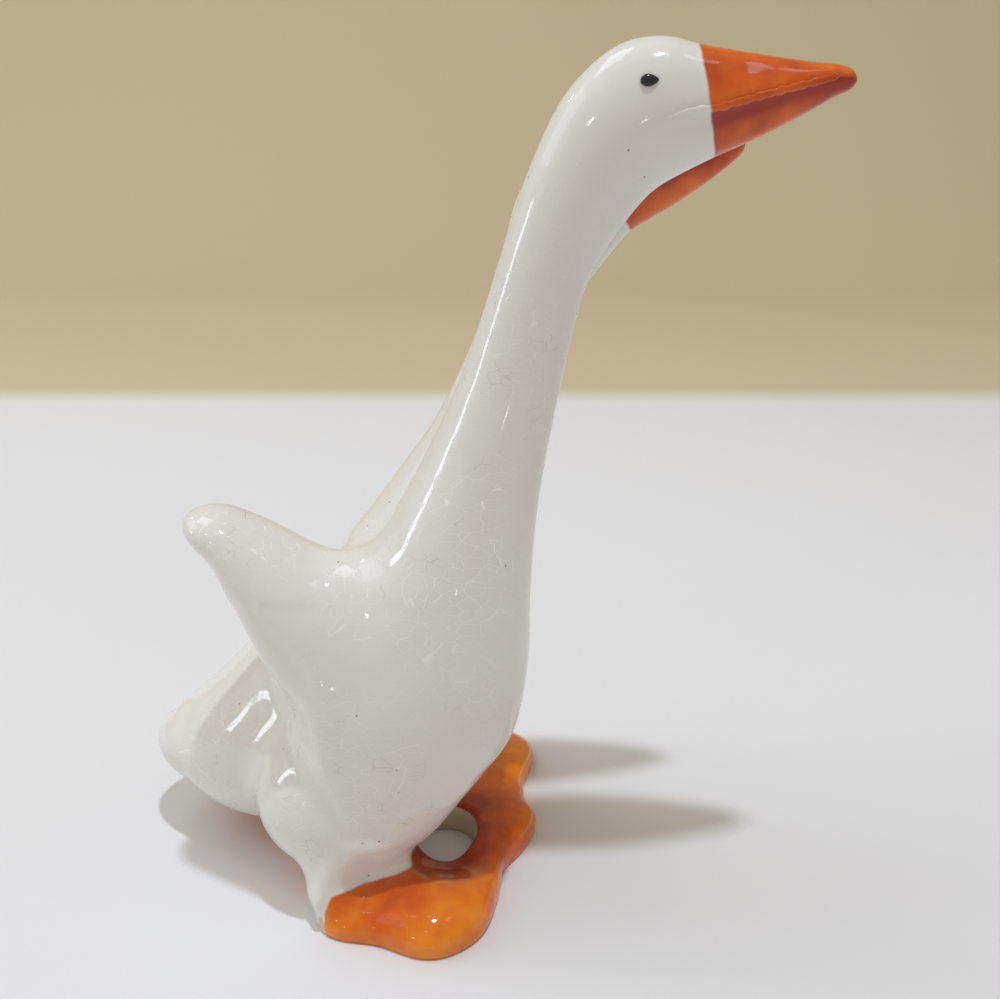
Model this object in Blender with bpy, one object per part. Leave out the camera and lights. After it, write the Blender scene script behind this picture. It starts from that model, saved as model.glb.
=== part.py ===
"""Two geese standing side by side on one foot slab: a slip-cast, glazed ceramic figurine.

Frame: metres, +Z up, both beaks point to +X. The origin is on the flat underside of the
foot slab, below the bodies. The taller goose stands on the -Y side, the lower one on +Y.

Each goose is one loft. Its outline is drawn as two rails in its own upright plane, the
back rail from the tail over the neck to the beak and the belly rail below it, and each
section between the rails is an egg or a beak shape. The foot slab is a low mound inside
a lobed outline. Booleans join everything to one closed body.
"""
from collections import namedtuple

import bmesh
import bpy
import numpy as np

MM = 0.001

# Driving dimensions, millimetres. A goose's length runs from its first station to its last, its
# height is that of its crown, and its width is that of its widest station.
TALL_LENGTH = 82.0
TALL_HEIGHT = 125.6
TALL_WIDTH = 29.0
LOW_LENGTH = 84.4
LOW_HEIGHT = 113.6
LOW_WIDTH = 37.0
SLAB_LENGTH = 35.4
SLAB_WIDTH = 62.9
SLAB_THICK = 5.0

# Places of the two upright planes
LOW_PLANE_Y = 8.5
GOOSE_SPACING = 19.0
TALL_PLANE_Y = LOW_PLANE_Y - GOOSE_SPACING

# How finely the lofts are divided
RING_POINTS = 30
RING_PITCH = 2.9
CAP_RINGS = 4

# A station: one section of a goose. top and bottom are points (x, z) on the two rails,
# half is half the width, square makes the lower half fuller (0 is an oval), and mouth is
# the depth of the step under the upper beak at the height mouth_at (-1 to 1). The lists draw
# the geese at their real size, and the driving dimensions stretch the drawing.
Station = namedtuple("Station", "top bottom half square mouth mouth_at", defaults=(0.0, 0.0, 0.0))

TALL_GOOSE = [
    Station((-19.4, 61.8), (-22.6, 54.8), 6.4),
    Station((-14.8, 59.7), (-18.4, 46.5), 9.0),
    Station((-10.2, 57.0), (-14.6, 38.0), 11.2),
    Station((-7.2, 55.2), (-9.0, 29.0), 12.8, 0.1),
    Station((-5.4, 54.3), (-5.5, 16.0), 14.2, 0.6),
    Station((-3.8, 54.0), (-0.5, 6.5), 14.5, 0.7),
    Station((-2.0, 54.4), (7.6, 9.0), 14.3, 0.3),
    Station((0.4, 56.0), (15.4, 18.2), 13.8, 0.2),
    Station((3.0, 59.2), (21.6, 26.6), 13.2, 0.1),
    Station((5.4, 63.4), (23.9, 38.0), 12.0),
    Station((8.0, 68.2), (24.2, 50.0), 10.2),
    Station((11.2, 74.6), (25.0, 61.5), 8.2),
    Station((14.4, 82.0), (26.8, 73.5), 6.6),
    Station((17.2, 90.2), (29.2, 85.6), 5.8),
    Station((20.6, 101.0), (31.8, 95.2), 5.8),
    Station((24.0, 110.8), (35.6, 101.6), 6.2),
    Station((28.6, 119.4), (39.6, 106.4), 6.8),
    Station((34.8, 124.6), (43.2, 108.6), 7.0, 0.0, 0.03, -0.20),
    Station((40.6, 125.6), (45.8, 109.9), 6.6, 0.0, 0.08, -0.18),
    Station((44.7, 124.7), (47.5, 110.7), 6.2, 0.0, 0.16, -0.16),
    Station((51.6, 123.6), (53.2, 113.2), 4.9, 0.0, 0.24, -0.04),
    Station((57.8, 122.7), (58.3, 115.8), 3.7, 0.0, 0.22, 0.10),
    Station((62.6, 122.3), (62.7, 118.3), 2.4, 0.0, 0.15, 0.24),
]
# Round ends: how far each reaches past its last station, and how blunt it is (0 starts
# parallel to the goose, 1 is a cone)
TALL_TAIL_END = (5.4, 0.4)
TALL_BEAK_END = (2.8, 0.4)

LOW_GOOSE = [
    Station((-32.6, 21.2), (-31.6, 8.0), 10.5, 0.1),
    Station((-27.4, 26.0), (-26.0, 5.6), 14.8, 0.4),
    Station((-21.0, 32.6), (-18.0, 4.5), 18.0, 0.6),
    Station((-12.5, 41.6), (-6.0, 4.0), 18.5, 0.7),
    Station((-5.0, 50.5), (6.0, 6.5), 17.5, 0.6),
    Station((-0.5, 56.0), (15.0, 15.0), 16.0, 0.3),
    Station((3.5, 61.5), (21.0, 26.0), 14.0, 0.1),
    Station((6.6, 65.8), (23.0, 38.0), 12.5),
    Station((9.4, 70.0), (23.2, 50.0), 10.5),
    Station((12.5, 76.0), (23.8, 62.0), 8.2),
    Station((15.6, 83.0), (25.4, 72.0), 6.4),
    Station((18.4, 91.0), (28.0, 82.0), 5.7),
    Station((20.4, 98.0), (31.8, 89.7), 5.7),
    Station((22.4, 104.6), (35.1, 94.5), 6.1),
    Station((25.6, 109.6), (36.9, 96.7), 6.7, 0.0, 0.03, -0.20),
    Station((29.6, 112.6), (38.0, 98.1), 6.6, 0.0, 0.08, -0.18),
    Station((33.2, 113.0), (39.0, 99.1), 6.2, 0.0, 0.16, -0.16),
    Station((40.8, 113.4), (45.4, 102.9), 4.9, 0.0, 0.24, -0.04),
    Station((47.4, 113.6), (50.2, 106.2), 3.7, 0.0, 0.22, 0.10),
    Station((51.8, 113.6), (53.6, 108.9), 2.5, 0.0, 0.15, 0.24),
]
LOW_TAIL_END = (6.6, 0.8)
LOW_BEAK_END = (2.8, 0.4)

# The beak starts this many stations before the end of each list
BEAK_STATIONS = 4

# Full rump of the tall goose, below its raised tail
RUMP_CENTRE = (-4.6, -12.6, 16.5)
RUMP_RADII = (13.2, 11.6, 12.0)

# Stout legs, one under each goose: half of the pair, mirrored to the other side
LEG_CENTRE = (-1.0, -14.0)
LEG_OUTLINE = [
    (-8.8, -23.6), (-6.6, -25.6), (-3.2, -22.0), (1.4, -17.2), (4.4, -12.6), (4.6, -7.0),
    (2.0, -4.5), (-5.0, -4.5), (-8.6, -9.0), (-9.4, -17.0),
]
LEG_POINTS = 36
# Heights of the leg's rings and their shares of the outline
LEG_RINGS = ((1.5, 0.9), (4.5, 1.0), (8.0, 0.9), (11.0, 0.7))

# Oval hole down through the slab between the feet
HOLE_CENTRE = (10.6, -4.8)
HOLE_RADII = (5.1, 5.8)
HOLE_LIP = 0.8
# Where the wall of the hole ends below the lip, as a share of the slab's height there
HOLE_WALL_TOP = 0.85

# Foot slab: corners of its lobed outline, from the near heel round the front to the back
SLAB_OUTLINE = [
    (-6.6, -25.8), (1.5, -28.4), (10.6, -31.3), (16.6, -27.0), (19.0, -20.0), (20.0, -12.8),
    (24.0, -4.5), (25.8, 2.0), (24.0, 8.8), (24.2, 15.0), (25.8, 22.0), (21.6, 30.0),
    (11.0, 31.6), (0.0, 28.6), (-7.6, 23.4), (-9.6, 12.0), (-9.6, -8.0), (-9.2, -19.0),
]
SLAB_POINTS = 72
SLAB_RINGS = 8
# Swell of the near foot and dip beside the hole: centre, height and reach
NEAR_FOOT = (9.0, -24.0, 2.0, 8.0)
HOLE_DIP = (11.2, -13.0, -3.2, 5.5)

# Eyes: raised drops of dark glaze. How far behind the beak they are, how many degrees down
# from the top of the head, their radii and how deep they sit in the skin
EYE_BACK = 6.4
EYE_TURN = 67.0
EYE_RADII = (1.5, 1.0, 1.0)
EYE_SINK = 0.6


def material(name, rgb, roughness):
    """A glaze or paint with its colour in linear light."""
    mat = bpy.data.materials.new(name)
    mat.use_nodes = True
    shader = mat.node_tree.nodes["Principled BSDF"]
    shader.inputs["Base Color"].default_value = (*rgb, 1.0)
    shader.inputs["Roughness"].default_value = roughness
    mat.diffuse_color = (*rgb, 1.0)
    return mat


def through(rows, pitch):
    """Rows of numbers on smooth curves through the given rows, each span cut to the pitch.

    Tangents are central differences over centripetal knots. Returns the new rows and the
    index that each given row has among them.
    """
    chord = np.linalg.norm(np.diff(rows[:, :4].reshape(len(rows), 2, 2), axis=0), axis=2).mean(axis=1)
    knots = np.concatenate([[0.0], np.cumsum(np.sqrt(chord))])
    tangent = np.gradient(rows, knots, axis=0, edge_order=2)
    out = [rows[:1]]
    at = [0]
    for i in range(len(rows) - 1):
        steps = max(1, int(round(chord[i] / pitch)))
        gap = knots[i + 1] - knots[i]
        t = (np.arange(1, steps + 1) / steps)[:, None]
        h00 = 2 * t**3 - 3 * t**2 + 1
        h10 = t**3 - 2 * t**2 + t
        h01 = -2 * t**3 + 3 * t**2
        h11 = t**3 - t**2
        out.append(h00 * rows[i] + h10 * gap * tangent[i] + h01 * rows[i + 1] + h11 * gap * tangent[i + 1])
        at.append(at[-1] + steps)
    return np.concatenate(out), at


def sized(stations, length, height, width):
    """Rows of numbers from a goose's stations, stretched to its length, height and width."""
    rows = np.array([(*s.top, *s.bottom, s.half, s.square, s.mouth, s.mouth_at) for s in stations])
    rows[:, [0, 2]] *= length / (rows[-1, 0] - rows[0, 0])
    rows[:, [1, 3]] *= height / rows[:, 1].max()
    rows[:, 4] *= width / (2 * rows[:, 4].max())
    return rows


def section(row, plane_y, angle):
    """Points of a goose's section at turns from its top, from the rails, half width and beak step."""
    top = row[0:2]
    bottom = row[2:4]
    half, square, mouth, mouth_at = row[4:8]
    up = np.cos(angle)
    power = np.where(up < 0.0, 2.0 + 2.0 * max(square, 0.0), 2.0)
    side = np.sign(np.sin(angle)) * np.clip(1.0 - np.abs(up) ** power, 0.0, 1.0) ** (1.0 / power)
    below = np.clip((mouth_at + 0.1 - up) / 0.2, 0.0, 1.0)
    width = half * (1.0 - mouth * below)
    middle = (top + bottom) / 2
    reach = (top - bottom) / 2
    x = middle[0] + reach[0] * up
    z = middle[1] + reach[1] * up
    return np.stack([x, plane_y + side * width, z], axis=1)


def capped(rings, length, blunt, ahead):
    """Rings of a round end past the last ring, shrinking on an ellipse from its taper, and its pole."""
    last = rings[-1]
    middle = last.mean(axis=0)
    angles = np.linspace(np.arcsin(blunt), np.pi / 2, CAP_RINGS + 1)[1:]
    gone = (np.sin(angles) - blunt) / (1.0 - blunt)
    share = np.cos(angles) / np.cos(np.arcsin(blunt))
    out = [middle + ahead * length * g + (last - middle) * k for g, k in zip(gone[:-1], share[:-1])]
    return out, middle + ahead * length


def across(ring):
    """Unit vector along the goose, square to the line from bottom to top of a ring."""
    line = ring[0] - ring[RING_POINTS // 2]
    ahead = np.array([line[2], 0.0, -line[0]])
    return ahead / np.linalg.norm(ahead)


def new_object(name, verts, faces, mats, face_mats, collection):
    """An object from a list of points in millimetres and faces."""
    mesh = bpy.data.meshes.new(name)
    mesh.from_pydata((np.asarray(verts) * MM).tolist(), [], faces)
    for mat in mats:
        mesh.materials.append(mat)
    mesh.polygons.foreach_set("material_index", face_mats)
    bm = bmesh.new()
    bm.from_mesh(mesh)
    bmesh.ops.recalc_face_normals(bm, faces=bm.faces)
    bm.to_mesh(mesh)
    bm.free()
    mesh.shade_smooth()
    obj = bpy.data.objects.new(name, mesh)
    collection.objects.link(obj)
    return obj


def tube_faces(ring_count, points, first_pole, last_pole):
    """Quads between neighbouring rings and fans to the two poles."""
    faces = []
    for i in range(ring_count - 1):
        for j in range(points):
            k = (j + 1) % points
            faces.append((i * points + j, i * points + k, (i + 1) * points + k, (i + 1) * points + j))
    last = (ring_count - 1) * points
    for j in range(points):
        k = (j + 1) % points
        faces.append((k, j, first_pole))
        faces.append((last + j, last + k, last_pole))
    return faces


def goose(name, rows, plane_y, tail_end, beak_end, mats, collection):
    """A whole goose as one loft, white with an orange beak, and the seats of its eyes."""
    fine, at = through(rows, RING_PITCH)
    turns = np.linspace(0.0, 2 * np.pi, RING_POINTS, endpoint=False)
    rings = [section(row, plane_y, turns) for row in fine]
    tail, tail_pole = capped(rings[::-1], *tail_end, -across(rings[0]))
    beak, beak_pole = capped(rings, *beak_end, across(rings[-1]))
    rings = tail[::-1] + rings + beak
    beak_row = at[len(rows) - BEAK_STATIONS]
    beak_ring = len(tail) + beak_row
    verts = np.concatenate(rings + [tail_pole[None], beak_pole[None]])
    count = len(rings)
    faces = tube_faces(count, RING_POINTS, count * RING_POINTS, count * RING_POINTS + 1)
    quads = (count - 1) * RING_POINTS
    face_mats = [1 if f < quads and f // RING_POINTS >= beak_ring else 0 for f in range(len(faces))]
    face_mats[quads + 1::2] = [1] * RING_POINTS
    obj = new_object(name, verts, faces, mats, face_mats, collection)
    return obj, eye_seats(fine[:beak_row + 1], plane_y)


def eye_seats(head, plane_y):
    """Two points on the skin, one each side, EYE_BACK before the last row of a head."""
    steps = np.linalg.norm(np.diff(head[::-1, :4].reshape(-1, 2, 2), axis=0), axis=2).mean(axis=1)
    back = np.concatenate([[0.0], np.cumsum(steps)])
    row = np.array([np.interp(EYE_BACK, back, column) for column in head[::-1].T])
    return section(row, plane_y, np.radians([EYE_TURN, -EYE_TURN]))


def stretched(outline, length, width):
    """Corners of an outline, stretched to a length along X and a width along Y."""
    corners = np.array(outline)
    return corners * (length, width) / np.ptp(corners, axis=0)


def outline_radius(outline, centre, angle):
    """Distance from a centre to a closed smooth curve through an outline's corners."""
    corners = np.array(outline) - centre
    theta = np.unwrap(np.arctan2(corners[:, 1], corners[:, 0]))
    radius = np.hypot(corners[:, 0], corners[:, 1])
    theta = np.concatenate([theta - 2 * np.pi, theta, theta + 2 * np.pi])
    radius = np.tile(radius, 3)
    slope = np.gradient(radius, theta)
    i = np.clip(np.searchsorted(theta, angle, side="right") - 1, 0, len(theta) - 2)
    gap = theta[i + 1] - theta[i]
    t = (angle - theta[i]) / gap
    return (
        (2 * t**3 - 3 * t**2 + 1) * radius[i]
        + (t**3 - 2 * t**2 + t) * gap * slope[i]
        + (3 * t**2 - 2 * t**3) * radius[i + 1]
        + (t**3 - t**2) * gap * slope[i + 1]
    )


def slab_height(x, y):
    """Height of the slab's top: its thickness, the near foot's dome and the dip by the hole."""
    height = np.full(np.shape(x), SLAB_THICK)
    for cx, cy, rise, reach in (NEAR_FOOT, HOLE_DIP):
        height = height + rise * np.exp(-((x - cx) ** 2 + (y - cy) ** 2) / reach**2)
    return height


def foot_slab(name, mats, collection):
    """The slab with its hole: rings from the outer edge over the top, down the hole and back below."""
    corners = stretched(SLAB_OUTLINE, SLAB_LENGTH, SLAB_WIDTH)
    start = np.arctan2(*(corners[0] - HOLE_CENTRE)[::-1])
    angle = start + np.linspace(0.0, 2 * np.pi, SLAB_POINTS, endpoint=False)
    edge = outline_radius(corners, HOLE_CENTRE, angle)
    rim = np.prod(HOLE_RADII) / np.hypot(HOLE_RADII[1] * np.cos(angle), HOLE_RADII[0] * np.sin(angle))

    def ring(radius, z):
        x = HOLE_CENTRE[0] + radius * np.cos(angle)
        y = HOLE_CENTRE[1] + radius * np.sin(angle)
        return np.stack([x, y, slab_height(x, y) * z], axis=1)

    rings = [ring(edge * 0.97, 0.0)]
    for turn in np.linspace(0.0, np.pi / 2, SLAB_RINGS):
        outward = np.cos(turn) ** 0.6
        rings.append(ring(rim + HOLE_LIP + (edge - rim - HOLE_LIP) * outward, 0.2 + 0.8 * np.sin(turn) ** 0.7))
    rings.append(ring(rim, HOLE_WALL_TOP))
    rings.append(ring(rim, 0.0))
    count = len(rings)
    verts = np.concatenate(rings)
    faces = []
    for i in range(count):
        for j in range(SLAB_POINTS):
            k = (j + 1) % SLAB_POINTS
            low = i * SLAB_POINTS
            high = (i + 1) % count * SLAB_POINTS
            faces.append((low + j, low + k, high + k, high + j))
    wall = (count - 2) * SLAB_POINTS
    face_mats = [0 if wall <= f < wall + SLAB_POINTS else 1 for f in range(len(faces))]
    return new_object(name, verts, faces, mats, face_mats, collection)


def leg(name, side, mats, collection):
    """A stout leg from the slab up into a body; side is 1, or -1 for its mirror image."""
    start = np.arctan2(*(np.array(LEG_OUTLINE[0]) - LEG_CENTRE)[::-1])
    angle = start + np.linspace(0.0, 2 * np.pi, LEG_POINTS, endpoint=False)
    edge = outline_radius(LEG_OUTLINE, LEG_CENTRE, angle)
    rings = []
    for z, share in LEG_RINGS:
        x = LEG_CENTRE[0] + edge * share * np.cos(angle)
        y = side * (LEG_CENTRE[1] + edge * share * np.sin(angle))
        rings.append(np.stack([x, y, np.full(LEG_POINTS, z)], axis=1))
    poles = [np.array([[LEG_CENTRE[0], side * LEG_CENTRE[1], ring[0, 2]]]) for ring in (rings[0], rings[-1])]
    count = len(rings)
    faces = tube_faces(count, LEG_POINTS, count * LEG_POINTS, count * LEG_POINTS + 1)
    return new_object(name, np.concatenate(rings + poles), faces, mats, [0] * len(faces), collection)


def ball(name, centre, radii, segments, mats, mat_index, collection):
    """A sphere stretched to three radii."""
    bm = bmesh.new()
    bmesh.ops.create_uvsphere(bm, u_segments=segments, v_segments=segments // 2, radius=1.0)
    for vert in bm.verts:
        vert.co = [(c + r * v) * MM for c, r, v in zip(centre, radii, vert.co)]
    mesh = bpy.data.meshes.new(name)
    bm.to_mesh(mesh)
    bm.free()
    for mat in mats:
        mesh.materials.append(mat)
    mesh.polygons.foreach_set("material_index", [mat_index] * len(mesh.polygons))
    mesh.shade_smooth()
    obj = bpy.data.objects.new(name, mesh)
    collection.objects.link(obj)
    return obj


def hide_guide(obj):
    """Marks a tool or a half-made form, which isn't part of the figurine."""
    obj.hide_render = True
    obj.display_type = "WIRE"


def join(target, tool):
    """Joins a tool to the figurine, exactly."""
    mod = target.modifiers.new("join_" + tool.name, "BOOLEAN")
    mod.operation = "UNION"
    mod.solver = "EXACT"
    mod.object = tool
    hide_guide(tool)


def build():
    for obj in list(bpy.data.objects):
        bpy.data.objects.remove(obj)
    parts = bpy.data.collections.new("goose_pair_figurine")
    guides = bpy.data.collections.new("guides")
    bpy.context.scene.collection.children.link(parts)
    bpy.context.scene.collection.children.link(guides)

    white = material("white_glaze", (0.76, 0.75, 0.71), 0.12)
    orange = material("orange_glaze", (0.58, 0.14, 0.035), 0.14)
    black = material("black_eye_paint", (0.012, 0.012, 0.014), 0.15)
    mats = [white, orange, black]

    tall_rows = sized(TALL_GOOSE, TALL_LENGTH, TALL_HEIGHT, TALL_WIDTH)
    low_rows = sized(LOW_GOOSE, LOW_LENGTH, LOW_HEIGHT, LOW_WIDTH)
    pair, seats = goose("goose_pair", tall_rows, TALL_PLANE_Y, TALL_TAIL_END, TALL_BEAK_END, mats, parts)
    low, low_seats = goose("low_goose", low_rows, LOW_PLANE_Y, LOW_TAIL_END, LOW_BEAK_END, mats, guides)
    join(pair, low)
    join(pair, ball("rump", RUMP_CENTRE, RUMP_RADII, 28, mats, 0, guides))
    join(pair, leg("tall_leg", 1, mats, guides))
    join(pair, leg("low_leg", -1, mats, guides))
    for seat, inward in zip((*seats, *low_seats), (-1, 1, -1, 1)):
        centre = seat + (0.0, inward * EYE_SINK, 0.0)
        join(pair, ball("eye", centre, EYE_RADII, 12, mats, 2, guides))
    join(pair, foot_slab("foot_slab", mats, guides))


build()
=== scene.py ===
# %% [markdown]
# # Two glazed geese
# The object is a slip-cast ceramic ornament: two long-necked geese side by side on one foot
# slab, fired as one body under a thick clear glaze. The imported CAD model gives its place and
# size. This lesson makes its skin again, finer, as surfaces worked out with numpy, lets them
# flow into each other as wet glaze does, and then paints, glazes, lights and frames it. Shapes
# are in millimetres until a mesh is made of them, and lamps and the camera are in metres.

# %% Load the frame
import math

import bpy
import numpy as np
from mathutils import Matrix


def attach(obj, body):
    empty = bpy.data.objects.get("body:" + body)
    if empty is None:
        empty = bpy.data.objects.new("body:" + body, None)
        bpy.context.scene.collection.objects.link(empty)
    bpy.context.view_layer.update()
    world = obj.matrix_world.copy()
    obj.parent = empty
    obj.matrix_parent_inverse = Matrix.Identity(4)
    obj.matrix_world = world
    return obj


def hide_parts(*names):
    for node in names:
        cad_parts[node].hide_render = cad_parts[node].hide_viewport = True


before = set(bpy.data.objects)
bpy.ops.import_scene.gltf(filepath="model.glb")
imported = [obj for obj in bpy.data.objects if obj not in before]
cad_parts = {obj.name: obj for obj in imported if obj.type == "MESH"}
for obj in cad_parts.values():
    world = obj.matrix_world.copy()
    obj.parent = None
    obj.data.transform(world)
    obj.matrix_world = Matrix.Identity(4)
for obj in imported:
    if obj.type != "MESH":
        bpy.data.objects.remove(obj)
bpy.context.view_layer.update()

# %% [markdown]
# ## Rails
# Each goose is drawn twice in its own upright plane: once along the back, from the tail over
# the neck to the beak, and once along the belly. A station joins a point on the back rail to
# one on the belly rail and says how wide the goose is there. Modelling by hand from a lump
# would work too, but the rails keep the long clean curves of the necks, and the same numbers
# shape the CAD model.

# %% Stations of the two geese
# back x, back z, belly x, belly z, half width, fullness of the lower half, depth of the step
# under the upper beak, height of that step (-1 belly, 1 back); millimetres
TALL = np.array([
    (-19.4, 61.8, -22.6, 54.8, 6.4, 0, 0, 0),
    (-14.8, 59.7, -18.4, 46.5, 9.0, 0, 0, 0),
    (-10.2, 57.0, -14.6, 38.0, 11.2, 0, 0, 0),
    (-7.2, 55.2, -9.0, 29.0, 12.8, 0.1, 0, 0),
    (-5.4, 54.3, -5.5, 16.0, 14.2, 0.6, 0, 0),
    (-3.8, 54.0, -0.5, 6.5, 14.5, 0.7, 0, 0),
    (-2.0, 54.4, 7.6, 9.0, 14.3, 0.3, 0, 0),
    (0.4, 56.0, 15.4, 18.2, 13.8, 0.2, 0, 0),
    (3.0, 59.2, 21.6, 26.6, 13.2, 0.1, 0, 0),
    (5.4, 63.4, 23.9, 38.0, 12.0, 0, 0, 0),
    (8.0, 68.2, 24.2, 50.0, 10.2, 0, 0, 0),
    (11.2, 74.6, 25.0, 61.5, 8.2, 0, 0, 0),
    (14.4, 82.0, 26.8, 73.5, 6.6, 0, 0, 0),
    (17.2, 90.2, 29.2, 85.6, 5.8, 0, 0, 0),
    (20.6, 101.0, 31.8, 95.2, 5.8, 0, 0, 0),
    (24.0, 110.8, 35.6, 101.6, 6.2, 0, 0, 0),
    (28.6, 119.4, 39.6, 106.4, 6.8, 0, 0, -0.2),
    (34.8, 124.6, 43.2, 108.6, 7.0, 0, 0.03, -0.20),
    (40.6, 125.6, 45.8, 109.9, 6.6, 0, 0.08, -0.18),
    (44.7, 124.7, 47.5, 110.7, 6.2, 0, 0.16, -0.16),
    (51.6, 123.6, 53.2, 113.2, 4.9, 0, 0.24, -0.04),
    (57.8, 122.7, 58.3, 115.8, 3.7, 0, 0.22, 0.10),
    (62.6, 122.3, 62.7, 118.3, 2.4, 0, 0.15, 0.24),
])
LOW = np.array([
    (-32.6, 21.2, -31.6, 8.0, 10.5, 0.1, 0, 0),
    (-27.4, 26.0, -26.0, 5.6, 14.8, 0.4, 0, 0),
    (-21.0, 32.6, -18.0, 4.5, 18.0, 0.6, 0, 0),
    (-12.5, 41.6, -6.0, 4.0, 18.5, 0.7, 0, 0),
    (-5.0, 50.5, 6.0, 6.5, 17.5, 0.6, 0, 0),
    (-0.5, 56.0, 15.0, 15.0, 16.0, 0.3, 0, 0),
    (3.5, 61.5, 21.0, 26.0, 14.0, 0.1, 0, 0),
    (6.6, 65.8, 23.0, 38.0, 12.5, 0, 0, 0),
    (9.4, 70.0, 23.2, 50.0, 10.5, 0, 0, 0),
    (12.5, 76.0, 23.8, 62.0, 8.2, 0, 0, 0),
    (15.6, 83.0, 25.4, 72.0, 6.4, 0, 0, 0),
    (18.4, 91.0, 28.0, 82.0, 5.7, 0, 0, 0),
    (20.4, 98.0, 31.8, 89.7, 5.7, 0, 0, 0),
    (22.4, 104.6, 35.1, 94.5, 6.1, 0, 0, -0.2),
    (25.6, 109.6, 36.9, 96.7, 6.7, 0, 0.03, -0.20),
    (29.6, 112.6, 38.0, 98.1, 6.6, 0, 0.08, -0.18),
    (33.2, 113.0, 39.0, 99.1, 6.2, 0, 0.16, -0.16),
    (40.8, 113.4, 45.4, 102.9, 4.9, 0, 0.24, -0.04),
    (47.4, 113.6, 50.2, 106.2, 3.7, 0, 0.22, 0.10),
    (51.8, 113.6, 53.6, 108.9, 2.4, 0, 0.15, 0.24),
])
TALL_Y = -10.5
LOW_Y = 8.5
BEAK_STATION = -4
print("stations:", len(TALL), "and", len(LOW))

# %% [markdown]
# ## One skin from the rails
# Between stations every number follows a smooth cubic, so one formula gives the whole goose
# as a function of two parameters: how far along, and how far round. A bevelled curve object
# could do nearly the same, but it has no step under the beak. Both ends are rounded off by
# rings that shrink to a point.

# %% The loft
def spread(stations):
    """Mean distance travelled by the two rails up to each station."""
    step = np.linalg.norm(np.diff(stations[:, :4].reshape(-1, 2, 2), axis=0), axis=2).mean(axis=1)
    return step, np.concatenate([[0.0], np.cumsum(step)])


def rows_at(stations, place):
    """Station numbers at any place along: a cubic between neighbours, whose slope at each
    station is the slope of the parabola through it and its two neighbours, over the square
    roots of the distances."""
    step, _ = spread(stations)
    knots = np.concatenate([[0.0], np.cumsum(np.sqrt(step))])
    slope = np.gradient(stations, knots, axis=0, edge_order=2)
    i = np.clip(place.astype(int), 0, len(stations) - 2)
    t = (place - i)[:, None]
    gap = np.diff(knots)[i][:, None]
    return (
        (2 * t**3 - 3 * t**2 + 1) * stations[i]
        + (t**3 - 2 * t**2 + t) * gap * slope[i]
        + (3 * t**2 - 2 * t**3) * stations[i + 1]
        + (t**3 - t**2) * gap * slope[i + 1]
    )


def skin(rows, plane_y, turn):
    """Points of the skin. Up is the cosine of the turn from the back; the width there is the
    half width times (1 - |up|^p)^(1/p), with p = 2 above and more below where the body is
    full. Under the beak's step the width is less, with a thin groove right below the edge and
    a slight swelling above it, both bells of the height."""
    back, belly = rows[:, None, 0:2], rows[:, None, 2:4]
    half, full, mouth, mouth_at = (rows[:, None, k] for k in range(4, 8))
    up = np.cos(turn)[None, :]
    power = np.where(up < 0, 2 + 2 * np.clip(full, 0, None), 2.0)
    wide = np.sign(np.sin(turn)) * np.clip(1 - np.abs(up) ** power, 0, 1) ** (1 / power)
    below = np.clip((mouth_at + 0.07 - up) / 0.14, 0, 1)
    below = below * below * (3 - 2 * below)
    groove = np.exp(-((up - mouth_at + 0.11) / 0.07) ** 2)
    edge = np.exp(-((up - mouth_at - 0.16) / 0.10) ** 2)
    wide = wide * half * (1 - mouth * (0.85 * below + 0.30 * groove - 0.22 * edge))
    x = (back[..., 0] + belly[..., 0]) / 2 + (back[..., 0] - belly[..., 0]) / 2 * up
    z = (back[..., 1] + belly[..., 1]) / 2 + (back[..., 1] - belly[..., 1]) / 2 * up
    return np.stack([x, plane_y + wide, z], axis=2)


def round_end(ring, length, blunt, count=14):
    """Rings past the last one. Their size falls on an ellipse that starts as steeply as the
    number blunt says, 0 for not at all and 1 for a cone, down to a point."""
    middle = ring.mean(axis=0)
    line = ring[0] - ring[len(ring) // 2]
    ahead = np.array([line[2], 0.0, -line[0]]) / np.linalg.norm(line)
    a = np.linspace(np.arcsin(blunt), np.pi / 2, count + 1)[1:]
    gone = (np.sin(a) - blunt) / (1 - blunt)
    size = np.cos(a) / np.cos(np.arcsin(blunt))
    return middle + (ahead * length * gone[:, None])[:, None, :] + (ring - middle) * size[:, None, None]


def goose(stations, plane_y, tail_end, beak_end, pitch=0.7, points=128):
    """The whole skin as a grid of rings from the tail's point to the beak's point."""
    _, far = spread(stations)
    place = np.interp(np.arange(0, far[-1], pitch), far, np.arange(len(far)))
    place = np.append(place, len(far) - 1.0)
    turn = np.linspace(0, 2 * np.pi, points, endpoint=False)
    rings = skin(rows_at(stations, place), plane_y, turn)
    beak = round_end(rings[-1], *beak_end)
    tail = round_end(rings[0], -tail_end[0], tail_end[1])[::-1]
    return np.concatenate([tail, rings, beak])


# length in millimetres and bluntness of the rounded ends
TALL_TAIL = (5.4, 0.4)
LOW_TAIL = (6.6, 0.8)
BEAK_TIP = (2.8, 0.4)
tall_grid = goose(TALL, TALL_Y, TALL_TAIL, BEAK_TIP)
low_grid = goose(LOW, LOW_Y, LOW_TAIL, BEAK_TIP)
print("rings:", len(tall_grid), "and", len(low_grid))

# %% [markdown]
# ## Rump, legs and slab
# Below the raised tail the near goose has a full round rump, an ellipsoid. The legs are short
# stout posts with a soft outline, and the foot slab is a flat cushion with lobes for the
# webbed feet and one oval hole, through which the slip was drained. The slab's grid runs from
# the outer edge over the top, down the hole and back below, so it closes on itself.

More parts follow.
